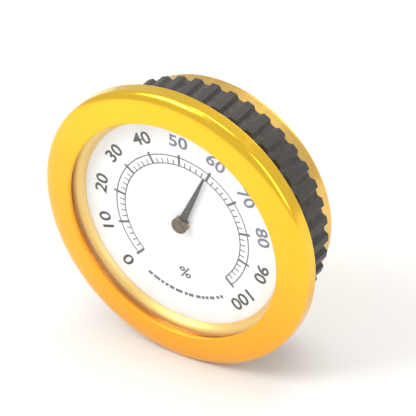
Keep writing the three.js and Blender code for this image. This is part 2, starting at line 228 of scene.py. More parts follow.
def drill(radius, startY, endY, centre=(0, 0), steps=48):
    # a round bar along Y that cuts a hole
    profile = [(0, startY), (radius, startY), (radius, endY), (0, endY)]
    return turned("tool", profile, centre=centre, steps=steps)


def slotCutter(centre, width, reach, startY, endY):
    # a block that cuts a screwdriver's slot along X
    bm = bmesh.new()
    bmesh.ops.create_cube(bm, size=1)
    middle = centre[0], (startY + endY) / 2, centre[1]
    size = 2 * reach, endY - startY, width
    for vert in bm.verts:
        vert.co = Vector((middle[i] + vert.co[i] * size[i] for i in range(3))) * mm
    return fromBmesh("slot", bm)


def asSeen(piece):
    # the mesh that a curve, or a piece with modifiers, shows
    bpy.context.view_layer.update()
    graph = bpy.context.evaluated_depsgraph_get()
    return bpy.data.meshes.new_from_object(piece.evaluated_get(graph))


def applied(piece):
    # turns the piece's modifiers into mesh
    mesh = asSeen(piece)
    piece.modifiers.clear()
    piece.data = mesh


def combined(piece, tools, operation="DIFFERENCE", edge=0.0):
    # cuts the tools from the piece or joins them to it, then rounds every sharp edge a little
    for tool in tools:
        step = piece.modifiers.new("combine", "BOOLEAN")
        step.operation = operation
        step.solver = "EXACT"
        step.object = tool
    applied(piece)
    for tool in tools:
        bpy.data.objects.remove(tool)
    if edge > 0:
        bevel = piece.modifiers.new("edges", "BEVEL")
        bevel.width = edge * mm
        bevel.segments = 2
        bevel.limit_method = "ANGLE"
        bevel.angle_limit = math.radians(35)
        bevel.use_clamp_overlap = True
        applied(piece)
    return smoothed(piece)


def merged(name, pieces, sharpDegrees=32):
    # several separate meshes as one piece
    bm = bmesh.new()
    for piece in pieces:
        bm.from_mesh(piece.data)
        bpy.data.objects.remove(piece)
    return fromBmesh(name, bm, sharpDegrees, outward=False)


def fitted(piece, body, nodes, slotName, material=None):
    # gives a finished mesh its body, the nodes it stands for and its finish, the slot's own unless another
    # is given; flat faces keep their own normals beside the rounded edges
    piece.data.materials.clear()
    piece.data.materials.append(material or finishes[slotName])
    flatNormals = piece.modifiers.new("normals", "WEIGHTED_NORMAL")
    flatNormals.keep_sharp = True
    if body:
        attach(piece, body)
    if nodes:
        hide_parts(*nodes)
    return piece


# Shader wiring.

class Wire:
    # one output socket that can be used in sums

    def __init__(self, finish, socket):
        self.finish = finish
        self.socket = socket

    def maths(self, operation, first, second):
        return self.finish.node("ShaderNodeMath", {"operation": operation}, [first, second])

    def __add__(self, other):
        return self.maths("ADD", self, other)

    __radd__ = __add__

    def __sub__(self, other):
        return self.maths("SUBTRACT", self, other)

    def __rsub__(self, other):
        return self.maths("SUBTRACT", other, self)

    def __mul__(self, other):
        return self.maths("MULTIPLY", self, other)

    __rmul__ = __mul__

    def __truediv__(self, other):
        return self.maths("DIVIDE", self, other)

    def __pow__(self, other):
        return self.maths("POWER", self, other)


class Finish:
    # one node material: the shader's constants are set on its own sockets

    def __init__(self, name, **constants):
        self.material = bpy.data.materials.new(name)
        self.material.use_nodes = True
        self.tree = self.material.node_tree
        self.tree.nodes.clear()
        self.output = self.tree.nodes.new("ShaderNodeOutputMaterial")
        self.shader = self.tree.nodes.new("ShaderNodeBsdfPrincipled")
        self.tree.links.new(self.shader.outputs[0], self.output.inputs["Surface"])
        for socket, value in constants.items():
            self.shader.inputs[socket.replace("_", " ")].default_value = value
        # position on the object in millimetres
        metres = self.node("ShaderNodeTexCoord", output="Object")
        self.spot = self.node("ShaderNodeVectorMath", {"operation": "SCALE"}, {0: metres, "Scale": 1 / mm})

    def node(self, kind, settings=None, inputs=None, output=0):
        # settings are set first, then the sockets by name or by number; gives back one output
        node = self.tree.nodes.new(kind)
        for key, value in (settings or {}).items():
            setattr(node, key, value)
        pairs = enumerate(inputs) if isinstance(inputs, list) else (inputs or {}).items()
        for key, value in pairs:
            self.put(node.inputs[key], value)
        return Wire(self, node.outputs[output])

    def put(self, socket, value):
        if isinstance(value, Wire):
            self.tree.links.new(value.socket, socket)
        else:
            socket.default_value = value

    def set(self, socket, value):
        self.put(self.shader.inputs[socket], value)

    def parts(self):
        # x, y, z, and the distance from the dial's axis
        x, y, z = (self.node("ShaderNodeSeparateXYZ", None, [self.spot], k) for k in range(3))
        return x, y, z, (x * x + z * z) ** 0.5

    def noise(self, scale, detail, roughness, vector=None):
        return self.node("ShaderNodeTexNoise", None, {
            "Vector": vector or self.spot, "Scale": scale, "Detail": detail, "Roughness": roughness})

    def streaks(self, stretch, detail, roughness):
        # noise drawn out along the axis that has the smallest number
        vector = self.node("ShaderNodeVectorMath", {"operation": "MULTIPLY"}, [self.spot, stretch])
        return self.noise(1.0, detail, roughness, vector)

    def ringGrain(self, pitch, wobble):
        # fine turning marks: noise that changes with the radius and hardly round the turn
        x, y, z, radius = self.parts()
        angle = self.node("ShaderNodeMath", {"operation": "ARCTAN2"}, [x, z])
        along = self.node("ShaderNodeCombineXYZ", None, [radius / pitch, angle * wobble, y / pitch])
        return self.noise(1.0, 4.0, 0.65, along)

    def remap(self, value, low, high, newLow=0.0, newHigh=1.0):
        return self.node("ShaderNodeMapRange", {"clamp": True, "interpolation_type": "SMOOTHSTEP"},
                         [value, low, high, newLow, newHigh])

    def blend(self, factor, first, second):
        # mixes two colours
        return self.node("ShaderNodeMix", {"data_type": "RGBA"}, {0: factor, 6: first, 7: second}, 2)

    def made(self, colour, roughness, height=None, depth=0):
        # the finished material; the height is in shares of a depth in millimetres
        self.set("Base Color", colour)
        self.set("Roughness", roughness)
        if height:
            self.set("Normal", self.node("ShaderNodeBump", None, {
                "Strength": 1.0, "Distance": depth * mm, "Height": height}))
        return self.material


def srgb(red, green, blue):
    # a colour given as a paint chart gives it, 0 to 255
    return tuple(((c / 255 + 0.055) / 1.055) ** 2.4 if c > 10 else c / 255 / 12.92
                 for c in (red, green, blue)) + (1.0,)


# Finishes.

# the deeper gold is a painted reflection tint, laid on the lower left of the brass
lacquerValues = {
    "gold": srgb(250, 202, 46), "deepGold": srgb(248, 172, 48),
    "tarnish": srgb(196, 132, 46), "roughness": 0.17,
    "polishedFrom": 15.05,         # the face is polished down to this radius
    "insideRoughness": 0.35,       # how much rougher it is further in
    "grainPitch": 0.05, "grainDepth": 0.0006,
}


def lacqueredBrass(name, values):
    # polished brass under clear lacquer, with a painted reflection: deeper orange towards the bottom and left
    v = named(values)
    finish = Finish(name, Metallic=1.0, Coat_Weight=0.35, Coat_Roughness=0.04, Coat_IOR=1.5)
    grain = finish.ringGrain(v.grainPitch, 1.2)
    x, y, z, radius = finish.parts()
    cloud = finish.noise(0.22, 4.0, 0.55)
    # painted reflection: the lower left takes the deeper gold, as if it mirrored warm surroundings
    low = finish.remap(z + x * 0.2 + cloud * 8.0, -8.0, 20.0, 1.0, 0.0)
    paintedReflectionTone = finish.blend(low * 0.85, v.gold, v.deepGold)
    specks = finish.remap(finish.noise(2.6, 5.0, 0.7), 0.66, 0.8)
    colour = finish.blend(specks * 0.35, paintedReflectionTone, v.tarnish)
    colour = finish.blend((grain - 0.5) * 0.3 + 0.06, colour, v.tarnish)
    wear = finish.noise(0.9, 5.0, 0.6)
    unpolished = finish.remap(radius, v.polishedFrom, v.polishedFrom + 0.3, v.insideRoughness, 0.0)
    roughness = unpolished + wear * 0.1 + grain * 0.05 + (v.roughness - 0.075)
    return finish.made(colour, roughness, grain, v.grainDepth)


# a paler, rougher copy of the lacquered brass for the spacer ring: its paler gold is a painted reflection of
# the white dial
reflectionPaleValues = {
    **lacquerValues,
    "gold": srgb(248, 216, 128), "deepGold": srgb(244, 204, 114),
    "tarnish": srgb(206, 156, 84), "roughness": 0.45, "insideRoughness": 0.0,
}


caseBrassValues = {
    "brass": srgb(228, 186, 98), "shade": srgb(190, 144, 72), "roughness": 0.27,
    "grainPitch": 0.12, "grainDepth": 0.003,
}


def caseBrass():
    # drawn brass cup: spun rings on its rear wall, duller where it was handled
    v = named(caseBrassValues)
    finish = Finish("caseBrass", Metallic=1.0, Coat_Weight=0.15, Coat_Roughness=0.12)
    grain = finish.ringGrain(v.grainPitch, 0.8)
    stain = finish.remap(finish.noise(0.35, 5.0, 0.6), 0.42, 0.75)
    colour = finish.blend(stain * 0.4, v.brass, v.shade)
    spots = finish.remap(finish.noise(3.1, 4.0, 0.6), 0.68, 0.8)
    colour = finish.blend(spots * 0.5, colour, v.shade)
    roughness = stain * 0.1 + grain * 0.14 + (v.roughness - 0.1)
    return finish.made(colour, roughness, grain, v.grainDepth)


plainBrassValues = {
    "brass": srgb(214, 170, 96), "shade": srgb(150, 104, 52), "roughness": 0.32,
    "scratchDepth": 0.0012,
}


def plainBrass():
    # unlacquered brass of the movement, toned by time
    v = named(plainBrassValues)
    finish = Finish("plainBrass", Metallic=1.0)
    age = finish.remap(finish.noise(0.8, 5.0, 0.6), 0.4, 0.8)
    scratches = finish.streaks((1.5, 14.0, 22.0), 3.0, 0.6)
    roughness = age * 0.2 + scratches * 0.1 + (v.roughness - 0.1)
    colour = finish.blend(age * 0.55, v.brass, v.shade)
    return finish.made(colour, roughness, scratches, v.scratchDepth)


steelValues = {
    "steel": srgb(196, 198, 200), "shade": srgb(140, 140, 138), "roughness": 0.26,
    "grainDepth": 0.0006,
}


def brightSteel():
    # zinc-plated steel of the screws, the clip and the spindle
    v = named(steelValues)
    finish = Finish("brightSteel", Metallic=1.0)
    tone = finish.noise(5.0, 4.0, 0.6)
    colour = finish.blend(finish.remap(tone, 0.35, 0.8) * 0.6, v.steel, v.shade)
    fine = finish.noise(24.0, 3.0, 0.6)
    roughness = fine * 0.1 + tone * 0.08 + (v.roughness - 0.09)
    return finish.made(colour, roughness, fine, v.grainDepth)


glassValues = {
    "tint": (0.985, 0.99, 0.988, 1.0),
    "headOn": 0.04,            # share of light that one face mirrors when looked at straight on
    "smudge": 0.03, "gloss": 0.015,
}


def clearGlass():
    # the window: light passes straight through, and gloss rises towards grazing angles
    v = named(glassValues)
    finish = Finish("clearGlass")
    finish.tree.nodes.remove(finish.shader)
    through = finish.node("ShaderNodeBsdfTransparent", None, {"Color": v.tint})
    smudges = finish.remap(finish.noise(0.35, 5.0, 0.65), 0.5, 0.8, 0.0, v.smudge)
    gloss = finish.node("ShaderNodeBsdfGlossy", None, {"Color": (1, 1, 1, 1), "Roughness": v.gloss})
    facing = finish.node("ShaderNodeLayerWeight", output=1)
    share = facing ** 5 * (1 - v.headOn) + smudges + v.headOn
    mixed = finish.node("ShaderNodeMixShader", None, {0: share, 1: through, 2: gloss})
    finish.put(finish.output.inputs["Surface"], mixed)
    return finish.material


enamelValues = {
    "tone": srgb(250, 250, 251), "faded": srgb(243, 242, 240),
    "patches": (0.3, 4.0, 0.6), "patchRange": (0.4, 0.8), "peelScale": 4.5,
    "peelDepth": 0.002, "patchDulls": 0.06, "peelDulls": 0.06,
    "roughness": 0.37,
}
blackValues = {
    "tone": srgb(20, 19, 18), "faded": srgb(42, 40, 37), "patches": (1.6, 5.0, 0.7),
    "patchRange": (0.45, 0.8), "peelScale": 9.0, "peelDepth": 0.0015,
    "patchDulls": 0.0, "peelDulls": 0.12, "roughness": 0.32,
}


def satinCoat(name, values, **constants):
    # paint or enamel whose tone fades in patches, with faint orange peel
    v = named(values)
    finish = Finish(name, **constants)
    patch = finish.remap(finish.noise(*v.patches), *v.patchRange)
    peel = finish.noise(v.peelScale, 3.0, 0.5)
    roughness = patch * v.patchDulls + peel * v.peelDulls + v.roughness
    return finish.made(finish.blend(patch, v.tone, v.faded), roughness, peel, v.peelDepth)


def inkFinish(name, colour, faded, roughness):
    # screen-printed ink, slightly uneven in density
    finish = Finish(name)
    patch = finish.remap(finish.noise(2.4, 5.0, 0.7), 0.45, 0.8)
    return finish.made(finish.blend(patch, colour, faded), patch * 0.1 + roughness)


bronzeValues = {
    "bronze": srgb(112, 95, 66), "dark": srgb(66, 54, 36),
    "rubbedEdge": (0.8, 1.03),     # radii between which it grows brighter
    "grainPitch": 0.06, "grainDepth": 0.001, "roughness": 0.3,
}


def darkBronze():
    # the boss: blackened bronze, rubbed brighter round its edge
    v = named(bronzeValues)
    finish = Finish("darkBronze", Metallic=0.9)
    grain = finish.ringGrain(v.grainPitch, 1.0)
    tone = finish.remap(finish.noise(1.8, 4.0, 0.6), 0.35, 0.75)
    rubbed = finish.remap(finish.parts()[3], *v.rubbedEdge)
    colour = finish.blend(tone, v.bronze, v.dark)
    colour = finish.blend(rubbed * 0.5, colour, v.bronze)
    roughness = grain * 0.14 + tone * 0.1 + (v.roughness - 0.1)
    return finish.made(colour, roughness, grain, v.grainDepth)


stripValues = {
    "paper": srgb(206, 192, 154), "fibre": srgb(160, 138, 96), "roughness": 0.7,
    "fibreDepth": 0.006,
}


def humidityStrip():
    # treated paper on foil: fibres along the strip and a mottled tone
    v = named(stripValues)
    finish = Finish("humidityStrip")
    fibres = finish.streaks((2.0, 16.0, 2.0), 5.0, 0.7)
    mask = finish.remap(fibres * 0.6 + finish.noise(0.9, 4.0, 0.6) * 0.4, 0.38, 0.7)
    colour = finish.blend(mask, v.paper, v.fibre)
    return finish.made(colour, fibres * 0.2 + (v.roughness - 0.1), fibres, v.fibreDepth)


vinylValues = {
    "vinyl": srgb(44, 40, 36), "dust": srgb(86, 80, 72),
    "valley": (15.75, 16.2),       # radii between which the dust thins out
    "roughness": 0.62, "textureDepth": 0.01,
}


def softVinyl():
    # matt moulded band with a fine texture and dust in its valleys
    v = named(vinylValues)
    finish = Finish("softVinyl", Sheen_Weight=0.15, Sheen_Roughness=0.5)
    valley = finish.remap(finish.parts()[3], *v.valley, 1.0, 0.0)
    dust = valley * finish.remap(finish.noise(1.1, 5.0, 0.6), 0.35, 0.7)
    fine = finish.noise(7.0, 4.0, 0.6)
    roughness = fine * 0.16 + dust * 0.1 + (v.roughness - 0.08)
    return finish.made(finish.blend(dust * 0.6, v.vinyl, v.dust), roughness, fine, v.textureDepth)


finishes = {
    "lacquered_brass": lacqueredBrass("lacqueredBrass", lacquerValues),
    "case_brass": caseBrass(),
    "plain_brass": plainBrass(),
    "bright_steel": brightSteel(),
    "clear_glass": clearGlass(),
    "white_enamel": satinCoat("whiteEnamel", enamelValues, Coat_Weight=0.15, Coat_Roughness=0.3),
    "black_paint": satinCoat("blackPaint", blackValues, Coat_Weight=0.2, Coat_Roughness=0.2),
    "dark_bronze": darkBronze(),
    "humidity_strip": humidityStrip(),
    "soft_vinyl": softVinyl(),
}
# the spacer ring's copy, paler as a painted reflection of the white dial
reflectionPaleBrass = lacqueredBrass("reflectionPaleBrass", reflectionPaleValues)
print("finishes made")


# Front of the instrument.

bezelValues = {
    "crestRadius": 15.3, "edgeDepth": 1.5, "lipRadius": 14.95,
    "lipDepth": 2.3, "crestRound": 0.2, "boreRadius": 15.45,
}


def makeBezel():
    v, box = named(bezelValues), span("bezel")
    rise, width = -box.front - v.edgeDepth, box.radius - v.crestRadius
    # a quarter of an ellipse from the crest down to the thin edge
    dome = [(v.crestRadius + width * math.cos(a), -v.edgeDepth - rise * math.sin(a))
            for a in np.radians(np.linspace(90, 0, 41))]
    inner = softened([
        (v.boreRadius, 0.0, 0.1), (v.boreRadius, -v.lipDepth),
        (v.lipRadius, -v.lipDepth, 0.05),
        (v.lipRadius, box.front, v.crestRound), (v.crestRadius, box.front),
    ], closed=False)
    outer = softened([dome[-1], (box.radius, 0.0, 0.12), (v.boreRadius + 0.1, 0.0)], closed=False)
    return turned("bezel", inner[:-1] + dome[:-1] + outer[:-1], closed=True, steps=320, sharpDegrees=40)


lensValues = {"rim": 0.08}


def makeLens():
    v, box = named(lensValues), span("lens")
    return lathed("lens", [
        (0, box.front), (box.radius, box.front, v.rim),
        (box.radius, box.back, v.rim), (0, box.back),
    ], roundSteps=4)


spacerValues = {
    "mouthRadius": 15.25,
    "waist": (14.55, -1.22, 1.4),      # radius, depth and how roundly the wall flares
    "dialRadius": 14.0, "flange": 0.3, "bodyRadius": 14.85,
    "round": 0.05,
}


def makeSpacer():
    v, box = named(spacerValues), span("spacer_ring")
    flangeBack = box.front + v.flange
    return lathed("spacerRing", [
        (v.mouthRadius, box.front, v.round),
        (box.radius, box.front, v.round), (box.radius, flangeBack, v.round),
        (v.bodyRadius, flangeBack), (v.bodyRadius, box.back),
        (v.dialRadius, box.back, v.round),
        v.waist,
    ], steps=320, roundSteps=8)


dialValues = {"holeRadius": 1.0, "round": 0.05}


def makeDial():
    v, box = named(dialValues), span("dial_plate")
    return lathed("dialPlate", [
        (v.holeRadius, box.front, v.round), (box.radius, box.front, v.round),
        (box.radius, box.back), (v.holeRadius, box.back),
    ], steps=200)


for makePiece, node, slotName in (
        (makeBezel, "bezel", "lacquered_brass"),
        (makeLens, "lens", "clear_glass"),
        (makeDial, "dial_plate", "white_enamel")):
    fitted(makePiece(), "case", [node], slotName)
fitted(makeSpacer(), "case", ["spacer_ring"], "lacquered_brass", reflectionPaleBrass)
print("bezel, window and dial made")


# Printing on the dial.

printValues = {
    "sweep": 270.0,            # degrees from 0 to 100
    "numeralRadius": 11.75, "numeralHeight": 1.7, "numeralStretch": 1.2,
    "numeralWeight": 0.05,     # how much each stroke is thickened, as a share of the height
    "scaleRadii": (8.35, 9.55), "lineWidth": 0.16,
    "tens": (0.34, 0.5),       # width of the ticks, and how far they pass the outer line
    "twos": (0.16, -0.4), "signRadius": 7.4, "signHeight": 1.5,
    "dashRadius": 10.5, "dashHeight": 0.42,
    "dashReach": 31,           # degrees each way from the bottom
    "dashLengths": (2.4, 3.8, 5.2), "dashGaps": (0.9, 1.2, 1.9), "inkHeight": 0.012,
    "inkGap": 0.002,
}


def scaleDegrees(reading):
    return (reading / 100 - 0.5) * printValues["sweep"]


def inkDepths():
    dialFront = span("dial_plate").front
    return dialFront - printValues["inkHeight"], dialFront - printValues["inkGap"]


def inkText(text, height, radius, degrees, upright=False):
    # a word or number whose foot points to the dial's centre
    frontY, backY = inkDepths()
    curve = bpy.data.curves.new(text, "FONT")
    curve.body = text
    curve.size = height * mm * 1.38     # the font's figures stand 0.72 of its size
    curve.align_x = "CENTER"
    curve.align_y = "CENTER"
    curve.offset = printValues["numeralWeight"] * height * mm / 2
    curve.extrude = (backY - frontY) / 2 * mm
    curve.resolution_u = 4
    x, z = pointAt(radius, degrees)
    turn = 0 if upright else math.radians(degrees)
    matrix = (Matrix.Translation((x * mm, 0, z * mm)) @ Matrix.Rotation(turn, 4, "Y")
              @ Matrix.Scale(printValues["numeralStretch"], 4, (1, 0, 0)) @ uprightAt((frontY + backY) / 2))
    return fromCurve("numeral", curve, matrix)


def inkBand(inner, outer, startDegrees, endDegrees, steps=None):
    # a flat piece of a ring
    steps = steps or max(2, int(abs(endDegrees - startDegrees) / 1.5))
    angles = np.linspace(startDegrees, endDegrees, steps + 1)
    outline = [pointAt(outer, a) for a in angles] + [pointAt(inner, a) for a in reversed(angles)]
    return plate("band", [outline], *inkDepths())


def inkTick(reading, inner, outer, width):
    # a straight tick along the radius
    half = width / 2
    corners = [(-half, inner), (half, inner), (half, outer), (-half, outer)]
    return plate("tick", [spun(corners, scaleDegrees(reading))], *inkDepths())


def makeNumerals(name, readings):
    v = named(printValues)
    return merged(name, [inkText(str(reading), v.numeralHeight, v.numeralRadius, scaleDegrees(reading))
                         for reading in readings])


def makeSign():
    v = named(printValues)
    return merged("dialSign", [inkText("%", v.signHeight, v.signRadius, 180, upright=True)])


def makeScale():
    v = named(printValues)
    inner, outer = v.scaleRadii
    half = v.lineWidth / 2
    marks = [inkBand(line - half, line + half, scaleDegrees(0), scaleDegrees(100)) for line in (inner, outer)]
    for reading in range(0, 101, 2):
        width, reach = v.twos if reading % 10 else v.tens
        marks.append(inkTick(reading, inner + half, outer - half + reach, width))
    return merged("dialScale", marks)


def makeDashes():
    # a fine row of short dashes along the bottom of the dial
    v = named(printValues)
    dashes = []
    random.seed(4)
    half = v.dashHeight / 2
    start, end = 180 - v.dashReach, 180 + v.dashReach
    while start < end:
        length = min(random.choice(v.dashLengths), end - start)
        dashes.append(inkBand(v.dashRadius - half, v.dashRadius + half, start, start + length, 3))
        start += length + random.choice(v.dashGaps)
    return merged("dialDashes", dashes)


blackInk = inkFinish("blackInk", srgb(30, 30, 34), srgb(62, 62, 68), 0.5)
slateInk = inkFinish("slateInk", srgb(104, 104, 134), srgb(132, 132, 160), 0.5)
greyInk = inkFinish("greyInk", srgb(86, 84, 96), srgb(120, 120, 132), 0.5)
for marks, ink in (
        (makeNumerals("dialNumerals", (0, 10, 20, 30, 40, 90, 100)), blackInk),
        (makeNumerals("dialNumeralsUpper", (50, 60, 70, 80)), slateInk),
        (makeSign(), greyInk), (makeScale(), greyInk), (makeDashes(), greyInk)):
    fitted(marks, "case", [], "black_paint", ink)
print("dial printed")


# Pointer.

pointerValues = {
    "turn": 25.5,              # degrees clockwise from the top, at rest
    "rootWidth": 1.05, "tipWidth": 0.3,
    "tipShare": 0.8,           # fillet of the tip, as a share of its half width
    "eyeRadius": 0.95, "holeRadius": 0.62, "edge": 0.035,
}


def makePointer():
    # a tapering hand with a round eye, as long as its node reaches up
    v, box = named(pointerValues), span("pointer")
    turn = math.radians(v.turn)
    root, tip = v.rootWidth / 2, v.tipWidth / 2
    length = (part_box("pointer")[1].z / mm - tip * math.sin(turn)) / math.cos(turn)
    rootAngle = math.acos(root / v.eyeRadius)
    eye = [(v.eyeRadius * math.cos(a), v.eyeRadius * math.sin(a))
           for a in np.linspace(math.pi - rootAngle, fullTurn + rootAngle, 48)]
    tipRound = tip * v.tipShare
    outline = softened([(tip, length, tipRound), (-tip, length, tipRound)] + eye, steps=5)
    hole = circle(v.holeRadius, steps=48)
    return plate("pointer", [spun(outline, v.turn), spun(hole, v.turn)], box.front, box.back, v.edge)


bossValues = {
    "neckRadius": 0.6, "neckFront": -0.97,
    "dimple": (0.42, 0.3, 0.07),       # radius at its mouth and at its floor, and depth
    "crownRound": 0.13, "socketRadius": 0.42, "socketDepth": 0.5,
}


def makeBoss():
    v, box = named(bossValues), span("pointer_boss")
    front, back, radius = box.front, box.back, box.radius
    dimpleMouth, dimpleFloor, dimpleDepth = v.dimple
    return lathed("pointerBoss", [
        (0, front + dimpleDepth), (dimpleFloor, front + dimpleDepth, 0.05),
        (dimpleMouth, front, 0.08), (radius, front, v.crownRound),
        (radius, v.neckFront, 0.05), (v.neckRadius, v.neckFront),
        (v.neckRadius, back, 0.04), (v.socketRadius, back, 0.04),
        (v.socketRadius, back - v.socketDepth), (0, back - v.socketDepth),
    ], steps=96)


arborValues = {
    "round": 0.08,
    "pivotShares": (0.55, 0.45),       # of the arbor's radius, at the pivot's root and at its end
    "pivotLength": 0.3, "shoulderLength": 0.35,
}


def makeArbor():
    v, box = named(arborValues), span("arbor")
    rootShare, endShare = v.pivotShares
    return lathed("arbor", [
        (0, box.front), (box.radius, box.front, v.round),
        (box.radius, box.back - v.shoulderLength, 0.05),
        (box.radius * rootShare, box.back - v.pivotLength, 0.03),
        (box.radius * endShare, box.back, v.round), (0, box.back),
    ], steps=48, roundSteps=4)


colletValues = {"clearance": 0.02, "boreRound": 0.05, "edgeRound": 0.15}


def makeCollet():
    v, box = named(colletValues), span("coil_collet")
    bore = span("arbor").radius + v.clearance
    return lathed("coilCollet", [
        (bore, box.front, v.boreRound), (box.radius, box.front, v.edgeRound),
        (box.radius, box.back, v.edgeRound), (bore, box.back, v.boreRound),
    ], steps=72, roundSteps=4)


for makePiece, node, slotName in (
        (makePointer, "pointer", "black_paint"),
        (makeBoss, "pointer_boss", "dark_bronze"),
        (makeArbor, "arbor", "bright_steel"),
        (makeCollet, "coil_collet", "plain_brass")):
    fitted(makePiece(), "pointer", [node], slotName)
print("pointer made")


# Movement, behind the dial.

movementValues = {
    "bushHole": 1.55, "footHole": 0.6, "footCircle": 10.0,
    "footRound": 0.12, "screwCircle": 12.0,
    "screwAngles": (0, 240, 120),      # clockwise from the top
    "edge": 0.05,
    # radius, and depth behind the flange's back face, of each corner
    "countersink": ((1.15, -0.4), (1.15, 0.07), (0.65, 0.57), (0.65, 1.5)),
}


def makePlate():
    v, box = named(movementValues), span("movement_plate")
    disc = lathed("movementPlate", [
        (0, box.front), (box.radius, box.front), (box.radius, box.back), (0, box.back),
    ], steps=200)
    through = box.front - 1, box.back + 1
    tools = [drill(v.bushHole, *through, steps=64)]
    for degrees in (90, 270):
        tools.append(drill(v.footHole, *through, centre=pointAt(v.footCircle, degrees), steps=32))
    sunk = [(0, v.countersink[0][1]), *v.countersink, (0, v.countersink[-1][1])]
    for degrees in v.screwAngles:
        tools.append(turned("tool", sunk, centre=pointAt(v.screwCircle, degrees), steps=48))
    return combined(disc, tools, edge=v.edge)


def makeFoot(node):
    box = span(node)
    return lathed(node, [
        (0, box.front), (box.radius, box.front),
        (box.radius, box.back, movementValues["footRound"]), (0, box.back),
    ], steps=32, centre=box.middle)


bushValues = {
    "bore": 0.45,
    "pressed": (1.5, 0.7),     # radius, and how far back it reaches
    "shoulder": (2.2, 1.2), "nose": 1.3, "noseRound": 0.15,
    "chamfer": 0.1, "round": 0.08, "oilSink": (0.8, 0.25),
}


def makeBush():
    v, box = named(bushValues), span("front_bush")
    pressed, shoulder = v.pressed, v.shoulder
    return lathed("frontBush", [
        (v.bore, box.front + v.chamfer), (v.bore + v.chamfer, box.front),
        (pressed[0], box.front, v.round), pressed,
        (shoulder[0], pressed[1], v.round), (*shoulder, v.round),
        (v.nose, shoulder[1], v.round), (v.nose, box.back, v.noseRound),
        (v.oilSink[0], box.back), (v.bore, box.back - v.oilSink[1]),
    ], steps=96)


pillarValues = {"bore": 0.65, "tapped": 2.6, "drillTip": 0.3, "edge": 0.12, "sink": 0.15}


def makePillar(node):
    v, box = named(pillarValues), span(node)
    radius, front, back = box.radius, box.front, box.back
    return lathed(node, [
        (0, front + v.tapped + v.drillTip), (v.bore, front + v.tapped),
        (v.bore, front + v.sink), (v.bore + v.sink, front),
        (radius, front, v.edge), (radius, back, v.edge),
        (v.bore + v.sink, back), (v.bore, back - v.sink),
        (v.bore, back - v.tapped), (0, back - v.tapped - v.drillTip),
    ], steps=64, centre=box.middle)


threadValues = {"pitch": 0.25, "depth": 0.11, "rowsPerTurn": 8, "steps": 32}


def threadedRod(radius, startY, endY, centre):
    # solid rod with a helical thread, closed by a flat face at each end
    v = named(threadValues)
    bm = bmesh.new()
    rowStep = v.pitch / v.rowsPerTurn
    rows = int((endY - startY) / rowStep) + v.rowsPerTurn * 2
    grid = []
    for i in range(v.steps):
        share = i / v.steps
        column = []
        for j in range(rows):
            y = startY + (j - v.rowsPerTurn + v.rowsPerTurn * share) * rowStep
            groove = abs(j % v.rowsPerTurn / v.rowsPerTurn * 2 - 1)
            fade = max(0, min(1, (y - startY) / v.pitch, (endY - y) / v.pitch))
            r = radius - v.depth * (1 - (1 - groove) * fade)
            x, z = r * math.sin(fullTurn * share), r * math.cos(fullTurn * share)
            place = centre[0] + x, min(max(y, startY), endY), centre[1] + z
            column.append(bm.verts.new(Vector(place) * mm))
        grid.append(column)
    for i in range(v.steps):
        # the last column meets the first one a whole turn of the thread further on
        lift = v.rowsPerTurn if i == v.steps - 1 else 0
        left, right = grid[i], grid[(i + 1) % v.steps]
        for j in range(rows - 1 - lift):
            bm.faces.new((left[j], right[j + lift], right[j + 1 + lift], left[j + 1]))
    bmesh.ops.remove_doubles(bm, verts=bm.verts, dist=2e-3 * mm)
    bmesh.ops.dissolve_degenerate(bm, edges=bm.edges, dist=1e-3 * mm)
    bmesh.ops.holes_fill(bm, edges=[edge for edge in bm.edges if edge.is_boundary], sides=0)
    return fromBmesh("shank", bm, 50)


screwValues = {
    "sunkHead": 1.1, "sunkDepth": 0.5, "sunkRim": 0.03,
    "sunkSlot": (0.24, 0.2),       # width and depth
    "panHead": 1.3, "panHeight": 0.78, "panShoulder": 0.4,
    "panCrown": 0.62,              # where the crown begins to round, as a share of the head
    "panSlot": (0.34, 0.38), "slotReach": 3.0, "slotEdge": 0.03, "shank": 0.6,
    "rootInset": 0.06,             # how far the head's stub stays inside the thread
    "stub": 0.2, "overlap": 0.02,
}


def makeSunkScrew(node):
    v, box = named(screwValues), span(node)
    front, back, centre = box.front, box.back, box.middle
    coneEnd, root = front + v.sunkDepth, v.shank - v.rootInset
    head = lathed("head", [
        (0, front), (v.sunkHead, front, 0.02),
        (v.sunkHead, front + v.sunkRim), (root, coneEnd),
        (root, coneEnd + v.stub), (0, coneEnd + v.stub),
    ], steps=64, centre=centre)
    width, depth = v.sunkSlot
    combined(head, [slotCutter(centre, width, v.slotReach, front - 1, front + depth)], edge=0.02)
    shank = threadedRod(v.shank, coneEnd - v.overlap, back, centre)
    return merged(node, [head, shank], 40)


def makePanScrew(node):
    v, box = named(screwValues), span(node)
    front, back, centre = box.front, box.back, box.middle
    seat = back - v.panHeight
    head = lathed("head", [
        (0, seat), (v.panHead, seat, 0.05),
        (v.panHead, seat + v.panShoulder, 0.3),
        (v.panHead * v.panCrown, back - 0.06, 0.5), (0, back),
    ], steps=72, centre=centre)
    width, depth = v.panSlot
    combined(head, [slotCutter(centre, width, v.slotReach, back - depth, back + 1)], edge=v.slotEdge)
    shank = threadedRod(v.shank, front, seat + v.overlap, centre)
    return merged(node, [head, shank], 40)


fitted(makePlate(), "case", ["movement_plate"], "plain_brass")
fitted(makeBush(), "case", ["front_bush"], "plain_brass")
for side in ("left", "right"):
    node = "dial_foot_" + side
    fitted(makeFoot(node), "case", [node], "plain_brass")
for number in (1, 2, 3):
    for word, makePiece, slotName in (
            ("pillar", makePillar, "plain_brass"),
            ("plate_screw", makeSunkScrew, "bright_steel"),
            ("case_screw", makePanScrew, "bright_steel")):
        node = word + "_" + str(number)
        fitted(makePiece(node), "case", [node], slotName)
print("movement frame made")


# Case.

canValues = {
    "wall": 0.5, "edgeRound": 0.75, "insideRound": 0.4,
    "rimRounds": (0.06, 0.12), "studHole": 2.09, "studHoleRound": 0.05,
    "slotReach": (5.2, 9.2), "slotHalf": 0.6, "slotCount": 6, "screwHole": 0.7, "edge": 0.05,
}


